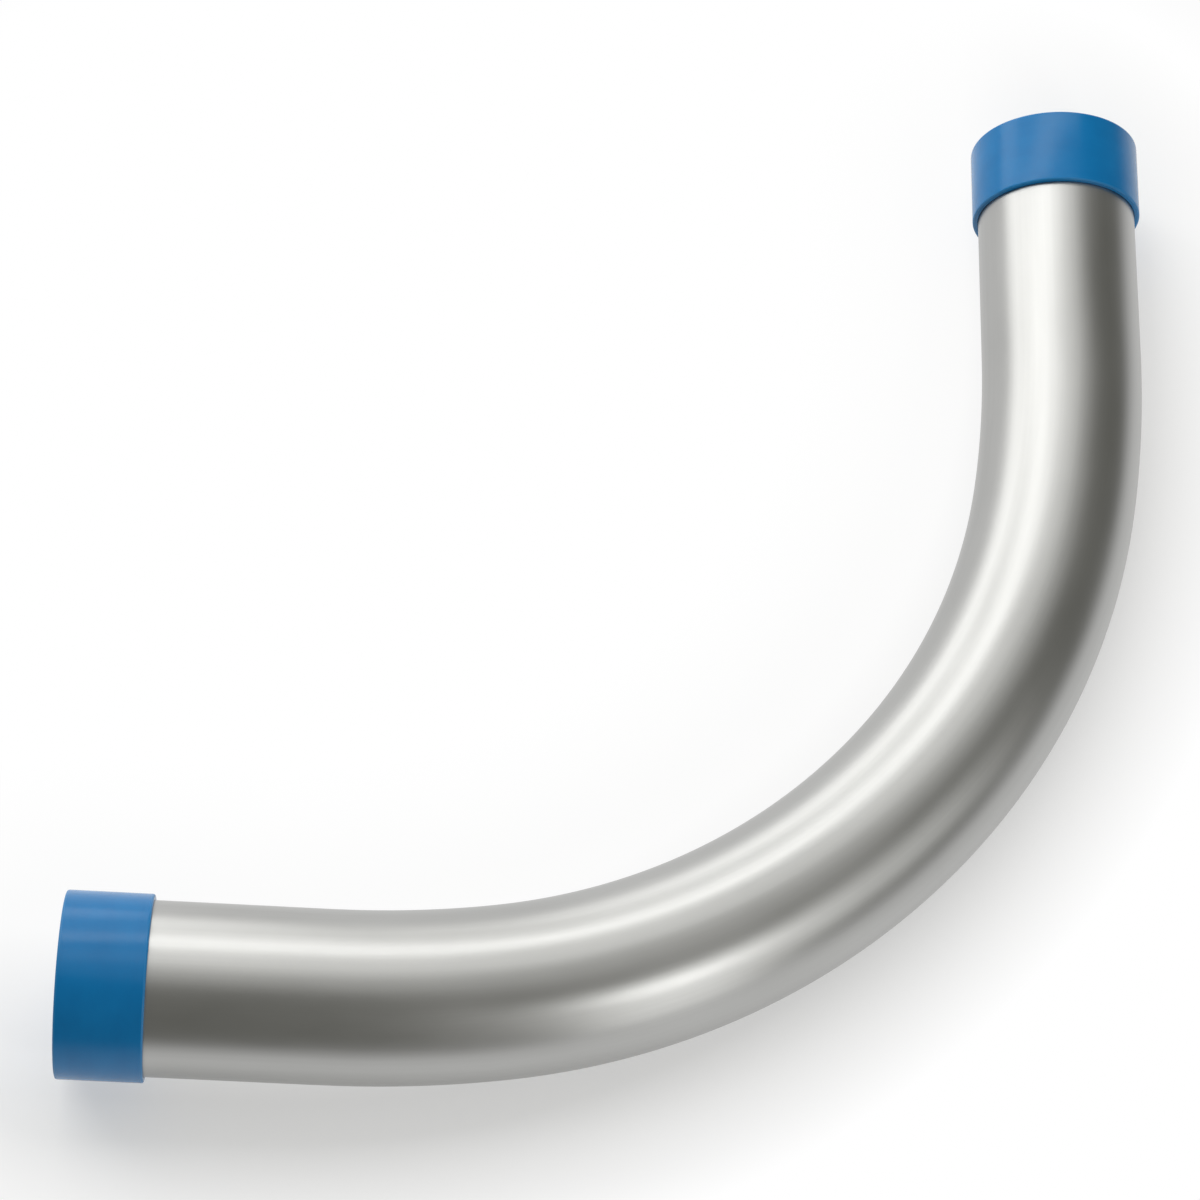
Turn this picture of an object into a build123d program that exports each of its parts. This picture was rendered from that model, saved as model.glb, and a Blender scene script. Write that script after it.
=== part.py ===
from build123d import *
import math
import os

# A quarter-bend elbow of rigid steel conduit, trade size 2, with a push-on plastic cap over the
# thread at each end. It lies on its side: +Z is up, one leg runs out along -X and the other along
# +Y. The origin is under the middle of its bounding box, on the surface that it lies on.
# All sizes are in millimetres and degrees.

# Tube section
tube_outer_diameter = 60.33
tube_wall = 3.71

# Bend, along the tube's centre line. A wider easing arc leads each leg into the main arc.
turn_angle = 90.0
bend_radius = 241.3
easing_radius = 384.0
easing_angle = 9.0
leg_length = 88.0

# Taper pipe thread, drawn as the plain cone of its pitch line. The drop is how much smaller that
# cone is across at the mouth than the tube.
thread_start_drop = 2.7
thread_height = 1.77
thread_taper = 1 / 16
thread_length = 26.9
thread_runout = 1.2

# Broken edges of each mouth
mouth_chamfer = 0.5
ream_depth = 0.8

# Thread cap
cap_fit_clearance = 0.25
cap_wall = 1.85
cap_floor = 2.6
cap_seat_height = 0.6
cap_bare_thread = 0.5
cap_end_bevel = 0.8

# Worked out from the sizes above
tube_radius = tube_outer_diameter / 2
bore_radius = tube_radius - tube_wall
main_angle = turn_angle - 2 * easing_angle
cap_depth = thread_length - cap_bare_thread
cap_inner_radius = tube_radius + cap_fit_clearance
cap_outer_radius = cap_inner_radius + cap_wall
cap_overhang = cap_seat_height + cap_floor
thread_start_radius = (tube_outer_diameter - thread_start_drop) / 2


def bend_reach():
    """Distance, along a leg, from the start of the bend to the corner where the legs' axes cross."""
    first = math.radians(easing_angle)
    second = math.radians(turn_angle - easing_angle)
    whole = math.radians(turn_angle)
    forward = easing_radius * (math.sin(first) + math.sin(whole) - math.sin(second))
    forward += bend_radius * (math.sin(second) - math.sin(first))
    sideways = easing_radius * (1 - math.cos(first) + math.cos(second) - math.cos(whole))
    sideways += bend_radius * (math.cos(first) - math.cos(second))
    return forward - sideways / math.tan(whole)


# Each run below starts at the origin, heads along +Z and bends towards +X. A run is its solid and
# the place of its far end.
def straight_run(section, length):
    """A straight length of the section."""
    return extrude(section, length), Pos(0, 0, length)


def arc_run(section, radius, angle):
    """The section turned about a centre that lies at the bend's radius to one side."""
    centre = Pos(radius, 0, 0)
    solid = revolve(section, Axis((radius, 0, 0), (0, 1, 0)), angle)
    return solid, centre * Rot(0, angle, 0) * centre.inverse()


def bent_bar(section):
    """The section carried along the elbow's whole centre line, and the place of its far end."""
    runs = [
        straight_run(section, leg_length),
        arc_run(section, easing_radius, easing_angle),
        arc_run(section, bend_radius, main_angle),
        arc_run(section, easing_radius, easing_angle),
        straight_run(section, leg_length),
    ]
    here = Location()
    solids = []
    for solid, step in runs:
        solids.append(here * solid)
        here = here * step
    return Part() + solids, here


def revolved(points):
    """A closed outline of (radius, height) points turned once around Z."""
    outline = Plane.XZ * Polyline(*points, close=True)
    return revolve(make_face(outline), Axis.Z)


def thread_cone_radius(depth):
    """Radius of the thread's pitch cone at a depth behind the mouth."""
    return thread_start_radius + depth * thread_taper / 2


def end_shaper():
    """What the threading takes off one end: the mouth is at the origin and faces +Z."""
    outside = tube_radius + thread_height
    runout_start = thread_length - thread_runout
    return revolved(
        [
            (thread_start_radius - mouth_chamfer, 0),
            (thread_start_radius, -mouth_chamfer),
            (thread_cone_radius(runout_start), -runout_start),
            (tube_radius, -thread_length),
            (outside, -thread_length),
            (outside, 0),
        ]
    )


def mouth_reamer():
    """The cone that takes the inner burr off a mouth: the mouth is at the origin and faces +Z."""
    return revolved([(0, 0), (bore_radius + ream_depth, 0), (bore_radius, -ream_depth), (0, -ream_depth)])


def elbow_tube():
    """The bent tube, threaded and reamed at both ends, and the places of its two mouths."""
    tube, far_mouth = bent_bar(Circle(tube_radius) - Circle(bore_radius))
    near_mouth = Rot(0, 180, 0)
    for mouth in (near_mouth, far_mouth):
        tube -= mouth * end_shaper()
        tube -= mouth * mouth_reamer()
    return tube, near_mouth, far_mouth


def thread_cap():
    """A cup over one threaded end. The tube's mouth is at the origin and seats on the ledge inside."""
    crest_start = thread_start_radius + thread_height / 2
    taper_depth = (tube_radius - crest_start) * 2 / thread_taper
    ledge_radius = bore_radius + ream_depth
    return revolved(
        [
            (0, cap_overhang),
            (cap_outer_radius - cap_end_bevel, cap_overhang),
            (cap_outer_radius, cap_overhang - cap_end_bevel),
            (cap_outer_radius, -cap_depth),
            (cap_inner_radius, -cap_depth),
            (cap_inner_radius, -taper_depth),
            (crest_start + cap_fit_clearance, 0),
            (ledge_radius, 0),
            (ledge_radius, cap_seat_height),
            (0, cap_seat_height),
        ]
    )


def main():
    """Place the tube and both caps, and write each to its own file."""
    reach = bend_reach() + leg_length
    middle = (reach + cap_overhang - cap_outer_radius) / 2
    left_mouth = Plane((middle - reach, -middle, cap_outer_radius), x_dir=(0, 1, 0), z_dir=(1, 0, 0))
    place = left_mouth.location
    tube, near_mouth, far_mouth = elbow_tube()
    pieces = {
        "elbow_tube": place * tube,
        "left_thread_cap": place * near_mouth * thread_cap(),
        "top_thread_cap": place * far_mouth * thread_cap(),
    }
    os.makedirs("parts", exist_ok=True)
    for name, piece in pieces.items():
        export_step(piece, f"parts/{name}.step")


main()
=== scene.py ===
# %% [markdown]
# # A steel conduit elbow with two thread caps
#
# Rigid conduit is thick steel pipe that electric cables are pulled through. Where a run turns a
# corner, the fitter screws in an elbow like this one: a pipe bent through a right angle, coated
# with zinc, with a taper thread at each end. Until it is fitted, a blue plastic cap pushed over
# each thread keeps the crests from being knocked.
#
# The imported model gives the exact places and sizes. This file gives the same three pieces their
# finished surfaces: the tube with its real threads, and the two caps.

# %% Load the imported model
import math

import bmesh
import bpy
import numpy as np
from mathutils import Matrix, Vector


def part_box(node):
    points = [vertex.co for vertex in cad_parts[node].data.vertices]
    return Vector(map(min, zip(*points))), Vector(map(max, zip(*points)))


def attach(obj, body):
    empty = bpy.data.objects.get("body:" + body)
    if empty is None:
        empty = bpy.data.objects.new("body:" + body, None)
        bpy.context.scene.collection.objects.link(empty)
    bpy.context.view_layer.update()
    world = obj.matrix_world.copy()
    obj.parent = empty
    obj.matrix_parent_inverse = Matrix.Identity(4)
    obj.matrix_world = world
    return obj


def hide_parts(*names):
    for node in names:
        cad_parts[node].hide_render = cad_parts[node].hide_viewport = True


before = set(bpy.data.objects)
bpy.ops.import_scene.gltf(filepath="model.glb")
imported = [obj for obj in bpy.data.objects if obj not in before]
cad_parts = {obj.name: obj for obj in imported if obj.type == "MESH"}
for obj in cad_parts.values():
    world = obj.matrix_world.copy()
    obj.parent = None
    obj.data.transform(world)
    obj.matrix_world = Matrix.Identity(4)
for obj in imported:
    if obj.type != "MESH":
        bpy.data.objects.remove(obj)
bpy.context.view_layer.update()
print("nodes:", sorted(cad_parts))

# %% [markdown]
# ## The camera
#
# The elbow lies on its side and is seen from high above, a little from the front. A long lens
# from a little over a metre away keeps the two legs nearly the same width. The camera could be
# moved about by hand until the view looks right. Here it is described as a photographer would,
# so that each number can be changed by itself: what it aims at, how far off it stands, the
# compass direction and the tilt, and a small roll, because it wasn't held quite level.
#
# Blender's camera looks along its own -Z with +Y up, so its matrix has three columns: right, up
# and backwards.

# %% Place the camera
MM = 0.001
AIM = np.array([-12.739, -7.625, 32.265]) * MM
DISTANCE = 1203.71 * MM
COMPASS, TILT, ROLL = np.radians([11.601, 66.158, 13.987])
# Blender takes these two in millimetres.
LENS, SENSOR_WIDTH = 98.98, 36


def unit(vector):
    """The vector divided by its own length."""
    return np.asarray(vector) / np.linalg.norm(vector)


def place_camera(name):
    """A camera whose forward direction is (cos tilt sin compass, cos tilt cos compass, -sin tilt).

    Level right is forward cross straight-up. Rolling turns right and up about forward."""
    forward = np.array(
        [np.cos(TILT) * np.sin(COMPASS), np.cos(TILT) * np.cos(COMPASS), -np.sin(TILT)]
    )
    level_right = unit(np.cross(forward, (0, 0, 1)))
    level_up = np.cross(level_right, forward)
    right = np.cos(ROLL) * level_right + np.sin(ROLL) * level_up
    up = np.cross(right, forward)
    turn = Matrix(np.column_stack([right, up, -forward]).tolist()).to_4x4()
    camera = bpy.data.objects.new(name, bpy.data.cameras.new(name))
    camera.data.lens = LENS
    camera.data.sensor_width = SENSOR_WIDTH
    camera.matrix_world = Matrix.Translation(AIM - DISTANCE * forward) @ turn
    bpy.context.scene.collection.objects.link(camera)
    return camera


camera = place_camera("camera")
bpy.context.scene.camera = camera
bpy.context.scene.view_settings.view_transform = "Standard"
print("camera at", [round(v, 3) for v in camera.matrix_world.translation])

# %% [markdown]
# ## Surfaces from arrays
#
# A tube could be a curve with a round bevel, and a thread could come from a Screw modifier, but
# then the thread, the lips and the bore would be separate shapes that have to be fitted together.
# Here every piece is a sheet of points worked out as one array: rows in one direction, columns in
# the other. Four neighbours make a face. Pieces are made of a few such sheets that share their
# edges, so the last step welds points that fall on the same place. That closes each seam and
# each pole, and it removes the faces that have shrunk to nothing.
#
# Each point also carries where it would be if the piece were straight and stood on its end. The
# materials read that, so their fine lines follow the tube round the bend.

# %% Helper: sheets to one closed mesh
WELD_REACH = 0.002 * MM


def sheet_faces(rows, columns, first):
    """Corner numbers of the faces between neighbouring rows and columns of a sheet.

    A point's number is first + row x columns + column."""
    number = first + np.arange(rows * columns).reshape(rows, columns)
    corners = [number[:-1, :-1], number[:-1, 1:], number[1:, 1:], number[1:, :-1]]
    return np.stack(corners, axis=-1).reshape(-1, 4)


def weld(mesh):
    """Joins points closer than the reach, and drops faces that have no area left."""
    work = bmesh.new()
    work.from_mesh(mesh)
    bmesh.ops.remove_doubles(work, verts=work.verts, dist=WELD_REACH)
    work.to_mesh(mesh)
    work.free()


def build_piece(name, sheets, sharp_degrees):
    """One object from sheets, each a dict of points, straight places and shares by name."""
    points = np.concatenate([sheet["points"].reshape(-1, 3) for sheet in sheets])
    faces, first = [], 0
    for sheet in sheets:
        rows, columns = sheet["points"].shape[:2]
        faces.append(sheet_faces(rows, columns, first))
        first += rows * columns
    mesh = bpy.data.meshes.new(name)
    mesh.from_pydata(points.tolist(), [], np.concatenate(faces).tolist())
    straight = np.concatenate([sheet["straight"].reshape(-1, 3) for sheet in sheets])
    mesh.attributes.new("straight", "FLOAT_VECTOR", "POINT")
    mesh.attributes["straight"].data.foreach_set("vector", straight.astype("f").ravel())
    for share in sheets[0]["shares"]:
        values = np.concatenate([sheet["shares"][share].ravel() for sheet in sheets])
        mesh.attributes.new(share, "FLOAT", "POINT")
        mesh.attributes[share].data.foreach_set("value", values.astype("f"))
    weld(mesh)
    mesh.polygons.foreach_set("use_smooth", np.ones(len(mesh.polygons), bool))
    mesh.set_sharp_from_angle(angle=math.radians(sharp_degrees))
    piece = bpy.data.objects.new(name, mesh)
    bpy.context.scene.collection.objects.link(piece)
    mesh.calc_loop_triangles()
    print(f"{name}: {len(mesh.vertices)} points, {len(mesh.loop_triangles)} triangles")
    return piece


# %% [markdown]
# ## The tube's centre line
#
# The tube is bent over a shoe of 241.3 mm radius, which is the standard one for this size. The
# bender doesn't start at full curvature: a wider arc leads in and out. The line could be drawn
# as five runs that touch, two legs and three arcs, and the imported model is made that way. But
# the curvature jumps where two runs meet, and a polished skin shows each jump as a kink in its
# reflections. So the jumps are spread over a few centimetres here.
#
# The recipe: curvature along the line, blurred. Its running sum is the heading, and the running
# sum of the heading's cosine and sine is the place. The straight legs take up the few
# hundredths of a millimetre by which the blur shortens the bend.

# %% Centre line
TUBE_RADIUS = 60.33 / 2 * MM
BORE_RADIUS = TUBE_RADIUS - 3.71 * MM
BEND_RADIUS = 241.3 * MM
EASING_RADIUS = 384.0 * MM
EASING_TURN = math.radians(9)
MAIN_TURN = math.radians(72)
WHOLE_TURN = math.radians(90)
BLUR = 30 * MM
STEP = 0.25 * MM

tube_low, tube_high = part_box("elbow_tube")
mouth_x, leg_y, height = tube_low[0], tube_low[1] + TUBE_RADIUS, tube_low[2] + TUBE_RADIUS
reach = tube_high[0] - TUBE_RADIUS - mouth_x


def running_sum(values):
    """Area under the values so far, by the trapezoid rule, starting at zero."""
    return np.concatenate([[0], np.cumsum((values[1:] + values[:-1]) / 2) * STEP])


def bend_table():
    """Heading and flat place every STEP along the bend, blur included, from its own start.

    The heading is the running sum of the blurred curvature, brought to the whole turn. The
    place is the running sum of the heading's cosine and of its sine."""
    easing, main = EASING_RADIUS * EASING_TURN, BEND_RADIUS * MAIN_TURN
    total = 2 * easing + main
    at = np.arange(-BLUR, total + BLUR, STEP)
    curve = np.where((at > 0) & (at < total), 1 / EASING_RADIUS, 0)
    curve = np.where((at > easing) & (at < easing + main), 1 / BEND_RADIUS, curve)
    window = np.hanning(int(BLUR / STEP) | 1)
    heading = running_sum(np.convolve(curve, window / window.sum(), "same"))
    heading *= WHOLE_TURN / heading[-1]
    return at - at[0], heading, running_sum(np.cos(heading)), running_sum(np.sin(heading))


bend_at, bend_heading, bend_x, bend_y = bend_table()
leg = reach - bend_x[-1]
tube_length = 2 * leg + bend_at[-1]
print(f"legs {leg / MM:.2f} mm, whole line {tube_length / MM:.2f} mm, reach {reach / MM:.2f} mm")


def centre_line(distance):
    """Place and sideways direction at distances from the left mouth, along the line.

    Before and after the bend the heading stays, so the place moves on along it."""
    inside = np.clip(distance - leg, 0, bend_at[-1])
    heading = np.interp(inside, bend_at, bend_heading)
    before = np.minimum(distance, leg)
    after = np.maximum(distance - leg - bend_at[-1], 0)
    x = mouth_x + before + np.interp(inside, bend_at, bend_x)
    y = leg_y + np.interp(inside, bend_at, bend_y) + after
    place = np.stack([x, y, np.full_like(x, height)], axis=-1)
    sideways = np.stack([-np.sin(heading), np.cos(heading), np.zeros_like(x)], axis=-1)
    return place, sideways


# %% [markdown]
# ## The tube's skin
#
# A circle swept along a curve would give the plain outside and nothing else. Here a point of
# the skin is given by three numbers: the distance along the centre line, the angle round it
# and the radius. Angle zero points to the inside of the bend and ninety degrees points up.
# With those three as arrays, one function makes the plain outside, the threads, the lips and
# the bore.

# %% Skin helper
UP = np.array([0.0, 0.0, 1.0])


def tube_sheet(distance, angle, radius, cut=0.0, inside=0.0):
    """Sheet of points: centre + radius x (cos angle x sideways + sin angle x up).

    cut is 1 on freshly cut steel and inside is 1 in the bore."""
    distance, angle, radius, cut, inside = np.broadcast_arrays(
        distance, angle, radius, cut, inside
    )
    place, sideways = centre_line(distance)
    around = np.cos(angle)[..., None] * sideways + np.sin(angle)[..., None] * UP
    straight = np.stack([radius * np.cos(angle), radius * np.sin(angle), distance], axis=-1)
    shares = {"cut": cut, "inside": inside}
    return {"points": place + radius[..., None] * around, "straight": straight, "shares": shares}


# %% [markdown]
# ## The taper thread
#
# The thread is the American taper pipe thread: 11.5 turns to the inch, flanks at 60 degrees, and
# a taper of 1 in 16, so that it tightens as it is screwed home. It is cut after the zinc coat,
# so the metal in it is bare. The crests grow out to the tube's own surface, and the last turns
# get shallower until the groove vanishes.
#
# A Screw modifier winds one outline into a helix and keeps it the same from end to end. This
# groove changes on its way, so it is worked out turn by turn. Rows of points that lie straight
# across the tube would cut the crests into a ragged line. So the rows follow the groove round,
# one turn after the other: two on its floor, one half-way up each flank and one on each edge
# of the crest. Rows that would start before the mouth, or go on past the end, are held there,
# and the weld removes them.

# %% Thread
PITCH = 25.4 / 11.5 * MM
THREAD_DEPTH = 0.8 * PITCH
# Each flank leans by this much, and the two make the 60 degrees.
FLANK_ANGLE = math.radians(30)
# A taper of 1 in 16 on the diameter is 1 in 32 on the radius.
TAPER = 1 / 32
# Half-way up the thread, at the mouth.
START_RADIUS = TUBE_RADIUS - 1.35 * MM
# Behind the mouth: the groove is full up to here, gone here, and the plain skin starts here.
PERFECT_LENGTH = 19.2 * MM
THREAD_LENGTH = 26.9 * MM
THREAD_END = 28.0 * MM
GROOVE_HALF_FLOOR = 0.019 * PITCH
# The flat lip of the mouth lies between the chamfer outside and the reamed edge inside.
LIP_OUTER = 27.85 * MM
REAM = 0.8 * MM
LIP_INNER = BORE_RADIUS + REAM
# Steps round the tube.
AROUND = 160


def groove_floor_radius(depth):
    """Pitch cone less half the thread's height, then a straight rise to the tube's surface."""
    floor = START_RADIUS + np.minimum(depth, PERFECT_LENGTH) * TAPER - THREAD_DEPTH / 2
    rise = np.clip((depth - PERFECT_LENGTH) / (THREAD_LENGTH - PERFECT_LENGTH), 0, 1)
    return floor + rise * (TUBE_RADIUS - floor)


def crest_radius(depth):
    """Pitch cone plus half the thread's height, but never outside the tube."""
    return np.minimum(START_RADIUS + depth * TAPER + THREAD_DEPTH / 2, TUBE_RADIUS)


def thread_grid():
    """Depth behind the mouth, share of a turn and radius, for the whole thread.

    A groove's middle lies at pitch x (turn + share of a turn). Its half-width at the top is that
    of its floor plus height x tan 30."""
    turns = np.arange(-1, int(THREAD_END / PITCH) + 2)
    share = np.linspace(0, 1, AROUND + 1)
    middle = PITCH * (turns[:, None, None] + share)
    floor = groove_floor_radius(np.clip(middle, 0, THREAD_END))
    tall = crest_radius(np.clip(middle, 0, THREAD_END)) - floor
    # The six rows of a turn: how far up the flank, and on which side of the groove.
    level = np.array([1, 0.5, 0, 0, 0.5, 1])[:, None]
    way = np.array([-1, -1, -1, 1, 1, 1])[:, None]
    depth = middle + way * (GROOVE_HALF_FLOOR + level * tall * math.tan(FLANK_ANGLE))
    depth = np.clip(depth, 0, THREAD_END)
    radius = np.where(level == 1, crest_radius(depth), floor + level * tall)
    radius = np.minimum(radius, LIP_OUTER + depth)
    share = np.broadcast_to(share, depth.shape)
    return [values.reshape(-1, AROUND + 1) for values in (depth, share, radius)]


thread_depth, thread_share, thread_radius = thread_grid()
print(f"pitch {PITCH / MM:.3f} mm, {THREAD_LENGTH / PITCH:.1f} turns of groove")

# %% [markdown]
# ## The whole tube
#
# The right leg's thread is the left one mirrored along the line and round it, which keeps it a
# right-hand thread. Between the threads lies the plain skin. At each mouth a lip sheet goes over
# the flat end and down the reamed edge, where the burr inside was cut away, and the bore joins
# the two lips.
#
# Boolean cuts could take the bore and the threads out of a solid rod, but they leave long thin
# faces that show in the reflections. Sheets only have to meet at their rims. Skin and bore are
# smooth, so a row of points every few millimetres is enough for them.

# %% Build the tube
SKIN_STEP = 3.5 * MM
BORE_STEP = 6 * MM
# The bare metal of the thread gives way to zinc over this length.
CUT_FADE = 0.8 * MM

thread_cut = np.clip((THREAD_LENGTH + CUT_FADE / 2 - thread_depth) / CUT_FADE, 0, 1)
thread_angle = 2 * np.pi * thread_share
full_turn = np.linspace(0, 2 * np.pi, AROUND + 1)
skin = np.linspace(THREAD_END, tube_length - THREAD_END, int(tube_length / SKIN_STEP))
bore = np.linspace(REAM, tube_length - REAM, int(tube_length / BORE_STEP))


def lip_sheet(mouth, inward):
    """From the foot of the outer chamfer over the flat lip and the reamed edge to the bore."""
    radius = np.array([LIP_OUTER, LIP_INNER, BORE_RADIUS])[:, None]
    depth = np.array([0, 0, REAM])[:, None]
    rows = slice(None, None, -inward)
    return tube_sheet(mouth + inward * depth[rows], full_turn, radius[rows], cut=1.0)


tube_sheets = [
    tube_sheet(thread_depth, thread_angle, thread_radius, cut=thread_cut),
    tube_sheet(tube_length - thread_depth, -thread_angle, thread_radius, cut=thread_cut),
    tube_sheet(skin[:, None], full_turn, TUBE_RADIUS),
    tube_sheet(bore[::-1, None], full_turn, BORE_RADIUS, inside=1.0),
    lip_sheet(0.0, 1),
    lip_sheet(tube_length, -1),
]
steel_elbow = build_piece("steel_elbow", tube_sheets, sharp_degrees=28)

# %% [markdown]
# ## The thread caps
#
# A cap is a turned shape, so it needs only its outline: radius against height above the tube's
# mouth. The outline runs from the middle of the closed end, over the outside, round the open
# rim and back along the inside, which tapers with the thread and has a narrow ledge that the
# tube's mouth sits on. The closed end has a shallow round panel.
#
# Moulded plastic has no perfectly sharp edge. A Bevel modifier could round every edge alike, but
# the rim is rounder than the ledge, so each corner of the outline has a rounding of its own.

# %% Cap outline
CAP_OUTSIDE = TUBE_RADIUS + 2.1 * MM
CAP_INSIDE = TUBE_RADIUS + 0.1 * MM
# From the tube's mouth: down to the open rim, up to the closed end, up to its inner face.
CAP_SKIRT = 26.8 * MM
CAP_TOP = 3.2 * MM
CAP_SEAT = 0.6 * MM
# Inside, the taper runs from this far down the skirt to this radius at the tube's mouth.
TAPER_DEPTH = 14.9 * MM
TAPER_END_RADIUS = 29.95 * MM
PANEL_DEPTH = 0.35 * MM
PANEL_RADIUS = 24.6 * MM
PANEL_RIM = 25.2 * MM
# A small ring round the middle keeps the triangles that meet there short.
MIDDLE_RING = 1.5 * MM
PANEL_ROUNDING, PANEL_RIM_ROUNDING = 0.5 * MM, 0.3 * MM
RIM_ROUNDING, INNER_RIM_ROUNDING = 0.9 * MM, 0.15 * MM
SEAT_ROUNDING = 0.1 * MM
# Edges rounder than this one stand out enough to be rubbed.
RUBBED_ROUNDING = 0.2 * MM

# radius, height and rounding of each corner
CAP_CORNERS = np.array(
    [
        (0.0, CAP_TOP - PANEL_DEPTH, 0.0),
        (MIDDLE_RING, CAP_TOP - PANEL_DEPTH, 0.0),
        (PANEL_RADIUS, CAP_TOP - PANEL_DEPTH, PANEL_ROUNDING),
        (PANEL_RIM, CAP_TOP, PANEL_RIM_ROUNDING),
        (CAP_OUTSIDE, CAP_TOP, RIM_ROUNDING),
        (CAP_OUTSIDE, -CAP_SKIRT, RIM_ROUNDING),
        (CAP_INSIDE, -CAP_SKIRT, INNER_RIM_ROUNDING),
        (CAP_INSIDE, -TAPER_DEPTH, 0.0),
        (TAPER_END_RADIUS, 0.0, 0.0),
        (LIP_INNER, 0.0, SEAT_ROUNDING),
        (LIP_INNER, CAP_SEAT, SEAT_ROUNDING),
        (0.0, CAP_SEAT, 0.0),
    ]
)


def rounded_outline(corners, steps):
    """Replaces each corner by a quadratic curve from one side of it to the other.

    The curve is (1-t)^2 x start + 2t(1-t) x corner + t^2 x end, and start and end lie the
    rounding away from the corner. Also says how far out on an edge each point is: 4t(1-t) at a
    corner that is round enough to be rubbed, and 0 elsewhere."""
    place, rounding = corners[:, :2], corners[:, 2:]
    before = np.roll(place, 1, axis=0) - place
    after = np.roll(place, -1, axis=0) - place
    start = place + rounding * before / np.linalg.norm(before, axis=1, keepdims=True)
    end = place + rounding * after / np.linalg.norm(after, axis=1, keepdims=True)
    t = np.linspace(0, 1, steps)[:, None, None]
    curve = (1 - t) ** 2 * start + 2 * t * (1 - t) * place + t**2 * end
    edge = 4 * t[..., 0] * (1 - t[..., 0]) * (rounding.T > RUBBED_ROUNDING)
    return curve.transpose(1, 0, 2).reshape(-1, 2), edge.T.ravel()


cap_outline, cap_edge = rounded_outline(CAP_CORNERS, steps=7)
cap_length = np.ptp(cap_outline[:, 1])
print(f"cap length {cap_length / MM:.2f} mm, outside {2 * CAP_OUTSIDE / MM:.2f} mm")

# %% Build the caps


def build_cap(name, mouth_distance, outward):
    """The outline turned once round the tube's line at one of its mouths.

    A point is mouth + height x axis + radius x (cos angle x sideways + sin angle x up)."""
    place, sideways = centre_line(np.array(mouth_distance))
    axis = outward * np.cross(sideways, UP)
    radius, rise = cap_outline[:, 0, None], cap_outline[:, 1, None]
    angle = -outward * np.linspace(0, 2 * np.pi, AROUND + 1)
    around = np.cos(angle)[:, None] * sideways + np.sin(angle)[:, None] * UP
    points = place + rise[..., None] * axis + radius[..., None] * around
    across = np.broadcast_arrays(radius * np.cos(angle), radius * np.sin(angle), rise)
    straight = np.stack(across, axis=-1)
    edge = np.broadcast_to(cap_edge[:, None], straight.shape[:2])
    sheet = {"points": points, "straight": straight, "shares": {"edge": edge}}
    return build_piece(name, [sheet], sharp_degrees=40)


left_blue_cap = build_cap("left_blue_cap", 0.0, -1)
top_blue_cap = build_cap("top_blue_cap", tube_length, 1)

# %% [markdown]
# ## Small helpers for materials
#
# A material in Blender is a graph of nodes. It could be wired by hand in the Shader Editor. In
# code, a helper that adds a node and wires it in one line makes each material further down read
# like a recipe. A value that is a plain number is set on the socket, and an output of another
# node is linked to it.
#
# A pattern could be painted as a picture. Noise that is worked out at each point needs no
# unwrapping, never repeats and stays sharp close up, so every pattern below is made of it.

# %% Node helpers


def add_node(tree, kind, inputs=(), **settings):
    """A node of that kind, with its settings, and its inputs by name or number."""
    node = tree.nodes.new(kind)
    for name, value in settings.items():
        setattr(node, name, value)
    for name, value in dict(inputs).items():
        if isinstance(value, bpy.types.NodeSocket):
            tree.links.new(value, node.inputs[name])
        else:
            node.inputs[name].default_value = value
    return node


def new_material(name):
    """An empty material and its node tree."""
    material = bpy.data.materials.new(name)
    material.use_nodes = True
    material.node_tree.nodes.clear()
    return material, material.node_tree


def finish_material(tree, shader):
    """Wires the shader to the material's surface."""
    add_node(tree, "ShaderNodeOutputMaterial", {"Surface": shader})


def calculate(tree, operation, first, second):
    """The output of a Math node."""
    return add_node(tree, "ShaderNodeMath", {0: first, 1: second}, operation=operation).outputs[0]


def remap(tree, value, low, high, source=(0.3, 0.7)):
    """A value in the source range brought to low ... high, and held there outside it.

    Noise seldom leaves 0.3 to 0.7, so that is the usual source range."""
    inputs = {0: value, 1: source[0], 2: source[1], 3: low, 4: high}
    return add_node(tree, "ShaderNodeMapRange", inputs).outputs[0]


# %% Pattern helpers


def attribute(tree, name, output="Fac"):
    """What build_piece stored at each point under that name."""
    return add_node(tree, "ShaderNodeAttribute", attribute_name=name).outputs[output]


def noise(tree, place, scale, detail=3.0):
    """Noise with its own scale, in features per metre, along each direction."""
    stretched = add_node(tree, "ShaderNodeMapping", {"Vector": place, "Scale": scale})
    inputs = {"Vector": stretched.outputs[0], "Scale": 1.0, "Detail": detail}
    return add_node(tree, "ShaderNodeTexNoise", inputs).outputs["Fac"]


def mix_value(tree, share, first, second):
    """first where share is 0, second where it is 1."""
    return add_node(tree, "ShaderNodeMix", {0: share, 2: first, 3: second}).outputs[0]


def mix_colour(tree, share, first, second):
    """A colour between first, where share is 0, and second, where it is 1."""
    inputs = {0: share, 6: first, 7: second}
    return add_node(tree, "ShaderNodeMix", inputs, data_type="RGBA").outputs[2]


def bump(tree, height, strength, distance, **under):
    """The skin's direction, tilted as if the height, 0 to 1, stood up by the distance."""
    inputs = {"Height": height, "Strength": strength, "Distance": distance, **under}
    return add_node(tree, "ShaderNodeBump", inputs).outputs[0]


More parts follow.
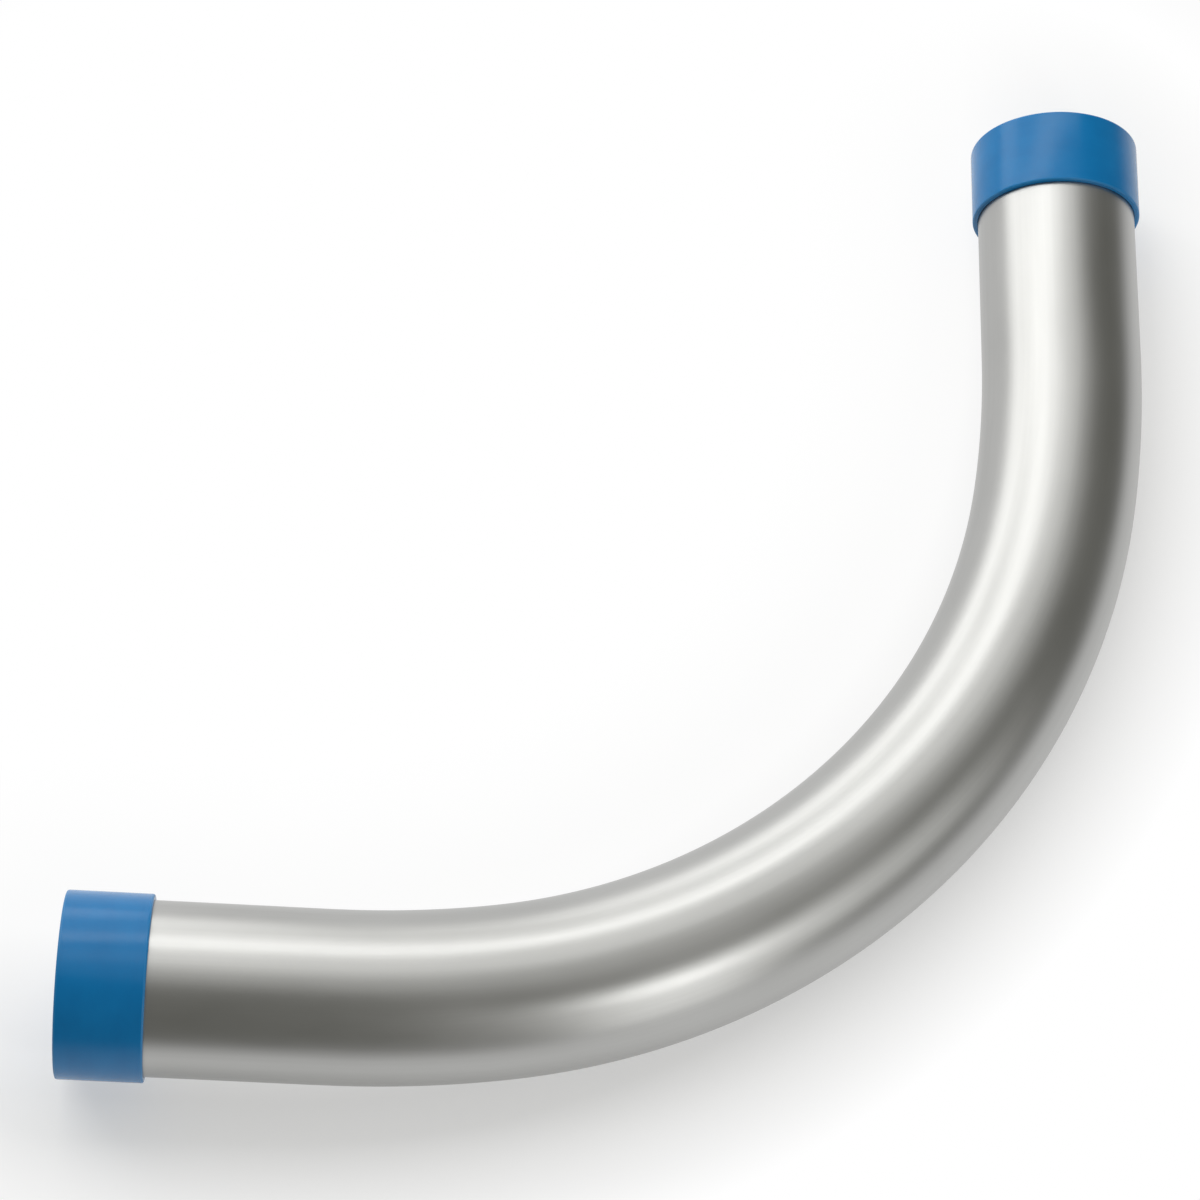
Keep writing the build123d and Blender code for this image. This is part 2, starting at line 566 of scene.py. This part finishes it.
# %% [markdown]
# ## Zinc-coated steel
#
# The coat on drawn tube is satin, not spangled: a neutral grey that spreads a reflection a
# little. Close up it has fine lines along the tube, left by drawing, and patches a few
# centimetres long that are slightly duller. Bending leaves slow, shallow waves in the skin,
# which bend the reflections a little. The thread is bare cut steel, a little smoother, and the
# bore has a dull grey coat.
#
# A picture of metal wrapped round the tube would stretch on the outside of the bend. All
# patterns here are noise that reads the straight place, so they follow the bend. A noise that is
# squeezed in one direction gives the lines.

# %% Steel material
ZINC_DARK, ZINC_PALE = (0.41, 0.41, 0.40, 1), (0.45, 0.45, 0.44, 1)
ZINC_LINE = (0.385, 0.385, 0.375, 1)
BARE_STEEL = (0.385, 0.38, 0.37, 1)
BORE_GREY = (0.26, 0.26, 0.25, 1)
ZINC_ROUGH, LINE_ROUGH, BARE_ROUGH, BORE_ROUGH = (0.32, 0.37), 0.40, 0.24, 0.55
# How much of a line's own colour and dullness shows at most.
LINE_TINT, LINE_DULLNESS = 0.25, 0.3
# Features per metre: twice across the tube, then along it.
LINE_SCALE, PATCH_SCALE = (900, 900, 7), (40, 40, 16)
GRAIN_SCALE, WAVE_SCALE = (2600, 2600, 1500), (14, 14, 9)
WAVE_HEIGHT, GRAIN_HEIGHT = 0.3 * MM, 0.02 * MM
# How high the lines stand next to the grain, and how strongly both show.
LINE_RELIEF, ZINC_RELIEF = 0.6, 0.25


def steel_material():
    """Satin zinc with draw lines and soft patches, bare steel in the thread, dull grey inside."""
    material, tree = new_material("zinc_coated_steel")
    straight = attribute(tree, "straight", "Vector")
    cut, inside = attribute(tree, "cut"), attribute(tree, "inside")
    lines = noise(tree, straight, LINE_SCALE, detail=4)
    patches = noise(tree, straight, PATCH_SCALE)
    grain = noise(tree, straight, GRAIN_SCALE, detail=2)
    waves = noise(tree, straight, WAVE_SCALE, detail=1)

    zinc = mix_colour(tree, remap(tree, patches, 0, 1), ZINC_DARK, ZINC_PALE)
    zinc = mix_colour(tree, remap(tree, lines, 0, LINE_TINT), zinc, ZINC_LINE)
    bare = mix_colour(tree, cut, zinc, BARE_STEEL)
    colour = mix_colour(tree, inside, bare, BORE_GREY)

    rough = remap(tree, patches, *ZINC_ROUGH)
    rough = mix_value(tree, remap(tree, lines, 0, LINE_DULLNESS), rough, LINE_ROUGH)
    rough = mix_value(tree, cut, rough, BARE_ROUGH)
    rough = mix_value(tree, inside, rough, BORE_ROUGH)

    relief = calculate(tree, "ADD", calculate(tree, "MULTIPLY", lines, LINE_RELIEF), grain)
    wavy = bump(tree, waves, 1.0, WAVE_HEIGHT)
    skin_normal = bump(tree, relief, ZINC_RELIEF, GRAIN_HEIGHT, Normal=wavy)
    inputs = {"Base Color": colour, "Roughness": rough, "Metallic": 1.0, "Normal": skin_normal}
    finish_material(tree, add_node(tree, "ShaderNodeBsdfPrincipled", inputs).outputs[0])
    return material


steel = steel_material()
steel_elbow.data.materials.append(steel)
print("steel finish:", len(steel.node_tree.nodes), "nodes")

# %% [markdown]
# ## Blue cap plastic
#
# The caps are moulded in soft polyethylene: a strong blue with a satin skin that shows the
# panels as pale, soft-edged bands. One flat colour would do from a few steps away. Up close the
# skin has a fine orange-peel grain, and the blue varies a little where the melt flowed. Along
# the rims, where a cap gets rubbed, it is a little paler and duller. The share called edge,
# which the outline worked out, says where that is.

# %% Plastic material
BLUE_DARK, BLUE_PALE = (0.001, 0.157, 0.405, 1), (0.002, 0.176, 0.445, 1)
BLUE_RUBBED = (0.03, 0.22, 0.48, 1)
BLUE_ROUGH, RUBBED_ROUGH = (0.22, 0.26), 0.4
# Blender's own 0.5 mirrors like hard glossy plastic. This soft one mirrors less.
PLASTIC_MIRROR = 0.30
# Features per metre: twice across the cap, then along it.
FLOW_SCALE, SCUFF_SCALE = (60, 60, 120), (300, 300, 500)
PEEL_SCALE, PEEL_RELIEF = (1500, 1500, 1500), 0.15


def plastic_material():
    """Satin blue with a faint flow pattern, a fine grain and rubbed edges."""
    material, tree = new_material("blue_cap_plastic")
    straight, edge = attribute(tree, "straight", "Vector"), attribute(tree, "edge")
    flow = noise(tree, straight, FLOW_SCALE)
    peel = noise(tree, straight, PEEL_SCALE, detail=2)
    scuffs = noise(tree, straight, SCUFF_SCALE, detail=4)

    blue = mix_colour(tree, remap(tree, flow, 0, 1), BLUE_DARK, BLUE_PALE)
    colour = mix_colour(tree, calculate(tree, "MULTIPLY", edge, scuffs), blue, BLUE_RUBBED)
    rough = mix_value(tree, edge, remap(tree, scuffs, *BLUE_ROUGH), RUBBED_ROUGH)
    inputs = {
        "Base Color": colour,
        "Roughness": rough,
        "Specular IOR Level": PLASTIC_MIRROR,
        "Normal": bump(tree, peel, PEEL_RELIEF, GRAIN_HEIGHT),
    }
    finish_material(tree, add_node(tree, "ShaderNodeBsdfPrincipled", inputs).outputs[0])
    return material


plastic = plastic_material()
for cap in (left_blue_cap, top_blue_cap):
    cap.data.materials.append(plastic)
print("cap finish:", len(plastic.node_tree.nodes), "nodes")

# %% [markdown]
# ## The floor
#
# Coated metal has hardly any colour of its own. What you see on it is the room, so the floor and
# the light are half of the finish.
#
# The floor is white, with the elbow's soft shadow on the outer side of the bend. A plain white
# floor under lamps would come out uneven, so from a hand's width away from the elbow it glows
# with an even white instead, for the camera and for whatever mirrors it. Nearer by, the glow is
# mixed with matt white paint that shows the shadow. Past what the camera sees the white fades
# to a pale grey. The outer side of the tube mirrors some of that grey, which keeps its edge
# apart from the white.

# %% Floor distances
INNER_WHITE, OUTER_WHITE, FAR_WHITE = 0.9, 0.36, 0.5
# On each side of the line under the tube, the glow's share goes from inner to outer white.
SIDE_REACH = 30 * MM
# Away from the line, it goes from that share to the whole.
SHADOW_START, SHADOW_END = 45 * MM, 95 * MM
# From the middle of the elbow, the white fades to the far white.
FADE_START, FADE_END = 350 * MM, 750 * MM


def vector_math(tree, operation, *values):
    """The output of a Vector Math node that is in use: a number for a length, else a vector."""
    node = add_node(tree, "ShaderNodeVectorMath", enumerate(values), operation=operation)
    return node.outputs["Value" if operation == "LENGTH" else "Vector"]


def steps_from_elbow(tree, place):
    """How far a floor point lies outside the line under the tube, and how far from it in all.

    The line is a rounded corner. With a and b the steps from the point to the arc's centre along
    each leg, the point is |(a, b), neither below 0| + (the larger of a and b, not above 0) -
    radius outside it. Past a mouth, the step along the leg counts too."""
    radius = reach - leg
    corner = (radius - reach - mouth_x, radius + leg_y, 0)
    steps = vector_math(tree, "MULTIPLY_ADD", place, (1, -1, 0), corner)
    outer = vector_math(tree, "LENGTH", vector_math(tree, "MAXIMUM", steps, (0, 0, 0)))
    parts = add_node(tree, "ShaderNodeSeparateXYZ", {0: steps}).outputs
    inner = calculate(tree, "MINIMUM", calculate(tree, "MAXIMUM", parts[0], parts[1]), 0.0)
    outside = calculate(tree, "SUBTRACT", calculate(tree, "ADD", outer, inner), radius)
    mouths = (mouth_x, -leg_y - reach, 0)
    past = vector_math(tree, "MULTIPLY_ADD", place, (-1, 1, 0), mouths)
    past = vector_math(tree, "MAXIMUM", past, (0, 0, 0))
    past = add_node(tree, "ShaderNodeSeparateXYZ", {0: past}).outputs
    whole = add_node(tree, "ShaderNodeCombineXYZ", {0: past[0], 1: past[1], 2: outside})
    return outside, vector_math(tree, "LENGTH", whole.outputs[0])


# %% Floor material
PAINT_WHITE, GLOW_WHITE = (0.95, 0.95, 0.95, 1), (1, 1, 1, 1)


def floor_material():
    """Matt white that keeps the elbow's shadow, mixed with a white glow that grows away from it.

    The glow shows to the camera and in mirrors, but lights nothing."""
    material, tree = new_material("white_floor")
    place = add_node(tree, "ShaderNodeTexCoord").outputs["Object"]
    outside, away = steps_from_elbow(tree, place)
    middle = vector_math(tree, "LENGTH", place)
    strength = remap(tree, middle, 1.0, FAR_WHITE, source=(FADE_START, FADE_END))
    paint = add_node(tree, "ShaderNodeBsdfDiffuse", {"Color": PAINT_WHITE})
    glow = add_node(tree, "ShaderNodeEmission", {"Color": GLOW_WHITE, "Strength": strength})
    path = add_node(tree, "ShaderNodeLightPath").outputs
    seen = calculate(tree, "ADD", path["Is Camera Ray"], path["Is Glossy Ray"])
    seen = calculate(tree, "MAXIMUM", seen, path["Is Transmission Ray"])
    near = remap(tree, outside, INNER_WHITE, OUTER_WHITE, source=(-SIDE_REACH, SIDE_REACH))
    share = remap(tree, away, near, 1, source=(SHADOW_START, SHADOW_END))
    share = calculate(tree, "MULTIPLY", seen, share)
    inputs = {0: share, 1: paint.outputs[0], 2: glow.outputs[0]}
    finish_material(tree, add_node(tree, "ShaderNodeMixShader", inputs).outputs[0])
    return material


white_floor = floor_material()
print("floor finish:", len(white_floor.node_tree.nodes), "nodes")

# %% Floor
FLOOR_HALF = 20.0


def make_floor(material):
    """One large square at height zero."""
    corners = np.array([(-1, -1, 0), (1, -1, 0), (1, 1, 0), (-1, 1, 0)]) * FLOOR_HALF
    mesh = bpy.data.meshes.new("floor")
    mesh.from_pydata(corners.tolist(), [], [(0, 1, 2, 3)])
    mesh.materials.append(material)
    floor = bpy.data.objects.new("floor", mesh)
    bpy.context.scene.collection.objects.link(floor)


make_floor(white_floor)
print("floor", 2 * FLOOR_HALF, "m square")

# %% [markdown]
# ## The lamps
#
# One big lamp would leave the tube with a single bright stripe. The broad pale band on its inner
# side is a row of soft panels behind it and to the left. The strip above them is brighter, and
# the caps mirror it as a pale band of their own. The dark middle is the dim front of the room,
# where the camera stands. Two panels in front, to the right, one low and one small and bright,
# give the long soft spot where the lower leg starts to bend.
#
# Each panel is described by where it stands, seen from the elbow, and by how bright its face is.
# An area lamp's power in watts is pi x area x brightness of its face, so a panel can be made
# larger without the mirrored patch getting darker.

# %% Lamps
PANEL_DISTANCE = 1.4


def direction(compass, height):
    """The direction at a compass angle, from +Y towards -X, and a height above the floor.

    It is (-sin compass x cos height, cos compass x cos height, sin height)."""
    compass, height = np.radians([compass, height])
    flat = np.cos(height)
    return np.array([-np.sin(compass) * flat, np.cos(compass) * flat, np.sin(height)])


def soft_panel(name, compass, height, size, brightness):
    """A flat lamp of that size in that direction from the elbow, facing it.

    Its right is straight-up cross away, and its up is away cross right."""
    lamp = bpy.data.lights.new(name, "AREA")
    lamp.shape = "RECTANGLE"
    lamp.size, lamp.size_y = size
    lamp.energy = math.pi * size[0] * size[1] * brightness
    away = direction(compass, height)
    right = unit(np.cross((0, 0, 1), away))
    up = np.cross(away, right)
    panel = bpy.data.objects.new(name, lamp)
    turn = Matrix(np.column_stack([right, up, away]).tolist()).to_4x4()
    panel.matrix_world = Matrix.Translation(PANEL_DISTANCE * away) @ turn
    panel.visible_camera = False
    bpy.context.scene.collection.objects.link(panel)
    print(f"{name}: {lamp.energy:.1f} W")


# name, compass and height in degrees, size in metres, brightness
PANELS = [
    ("back_low", 35, 12, (1.68, 0.52), 2.67),
    ("back_left", 60, 33, (0.54, 0.52), 1.17),
    ("back_middle", 26, 33, (1.49, 0.44), 1.34),
    ("back_strip", 20, 49, (2.11, 0.32), 3.48),
    ("back_high", 10, 74, (1.16, 0.39), 0.95),
    ("ceiling", -20, 80, (1.62, 1.31), 0.52),
    ("front_low", -150, 15, (0.49, 0.75), 1.78),
    ("front_spot", -147, 38, (0.22, 0.24), 11.0),
    ("right", -120, 30, (0.75, 0.70), 0.88),
]
for panel_row in PANELS:
    soft_panel(*panel_row)

# %% [markdown]
# ## The room
#
# What is neither lamp nor floor is a dim, slightly warm grey all round. It is what the dark
# middle of the tube mirrors, so it sets how dark that gets. A picture of a real room could be
# wrapped round the scene, but its windows would be where they are. With one even grey, every
# bright band on the metal comes from a lamp above, and can be moved.

# %% Room
ROOM_GREY = (0.199, 0.198, 0.180, 1)

world = bpy.data.worlds.new("room")
world.use_nodes = True
world.node_tree.nodes["Background"].inputs["Color"].default_value = ROOM_GREY
bpy.context.scene.world = world
print("room grey:", ROOM_GREY[:3])

# %% [markdown]
# ## Join the pieces to the model
#
# Each finished piece stands for one node of the imported model and moves with the same body, so
# the caps still slide off the tube. Parenting each one by hand would move it too, but the
# calls below also hide the node that it takes the place of.

# %% Ride and replace
PARTS = [
    (steel_elbow, "tube", "elbow_tube", "zinc_coated_steel"),
    (left_blue_cap, "left_cap", "left_thread_cap", "blue_cap_plastic"),
    (top_blue_cap, "top_cap", "top_thread_cap", "blue_cap_plastic"),
]
for piece, body, node, slot in PARTS:
    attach(piece, body)
    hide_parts(node)
